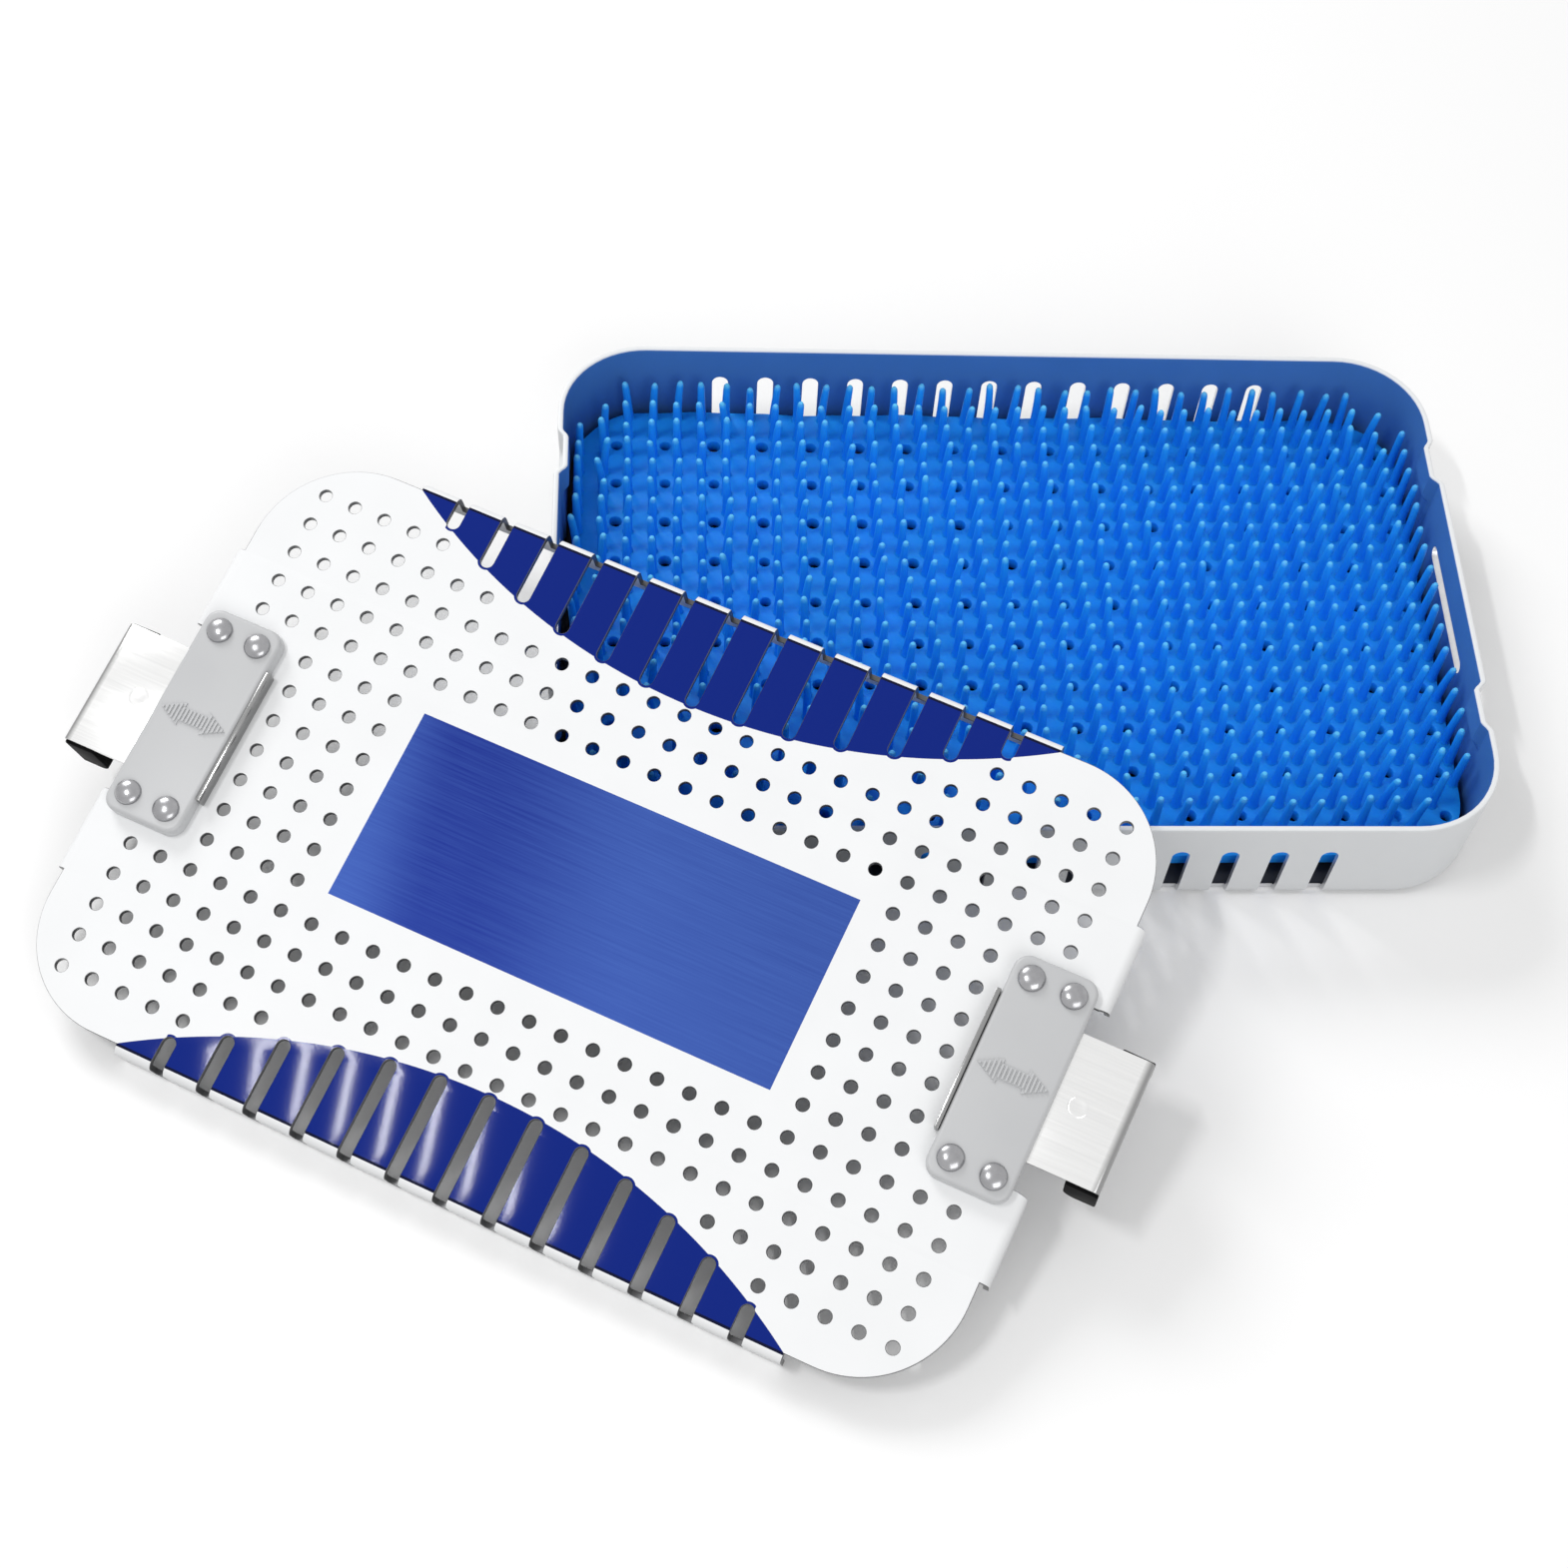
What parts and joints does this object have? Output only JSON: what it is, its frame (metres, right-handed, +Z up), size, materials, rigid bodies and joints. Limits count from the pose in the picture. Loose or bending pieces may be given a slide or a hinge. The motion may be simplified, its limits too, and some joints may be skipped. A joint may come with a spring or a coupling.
{
  "type": "sterilization container",
  "caption": "Shallow sterilization tray with a fingered silicone mat; its perforated lid, with a sliding latch at each end, is off and leans on the tray's corner.",
  "frame": {"origin": "middle of the tray's underside, on the floor", "axes": "+X along the tray's long side to the right, +Y away from the viewer, +Z up"},
  "size_m": [0.3743, 0.2965, 0.0506],
  "materials": {
    "tray_sheet": "satin white outside, satin blue inside",
    "silicone": "matte translucent blue silicone",
    "lid_sheet": "satin white with dark blue areas",
    "latch_housing": "satin light grey",
    "latch_plate": "brushed",
    "latch_grip": "matte black",
    "rivet": "polished dome"
  },
  "bodies": {
    "tray": {"tray_body": "tray_sheet"},
    "mat": {"silicone_mat": "silicone"},
    "lid": {"lid_shell": "lid_sheet", "left_latch_housing": "latch_housing", "right_latch_housing": "latch_housing", "left_rivet_front_outer": "rivet", "left_rivet_front_inner": "rivet", "left_rivet_back_outer": "rivet", "left_rivet_back_inner": "rivet", "right_rivet_front_outer": "rivet", "right_rivet_front_inner": "rivet", "right_rivet_back_outer": "rivet", "right_rivet_back_inner": "rivet"},
    "left_latch": {"left_latch_plate": "latch_plate", "left_latch_grip": "latch_grip"},
    "right_latch": {"right_latch_plate": "latch_plate", "right_latch_grip": "latch_grip"}
  },
  "joints": [
    {"name": "mat_lift", "type": "slide", "parent": "tray", "child": "mat", "axis": [0, 0, 1], "range_m": [0, 0.01]},
    {"name": "lid_lift", "type": "slide", "parent": "tray", "child": "lid", "axis": [0, 0, 1], "range_m": [0, 0.25]},
    {"name": "left_latch_slide", "type": "slide", "parent": "lid", "child": "left_latch", "axis": [0.893, -0.4501, 0], "range_m": [0, 0.009]},
    {"name": "right_latch_slide", "type": "slide", "parent": "lid", "child": "right_latch", "axis": [-0.893, 0.4501, 0], "range_m": [0, 0.009]}
  ]
}
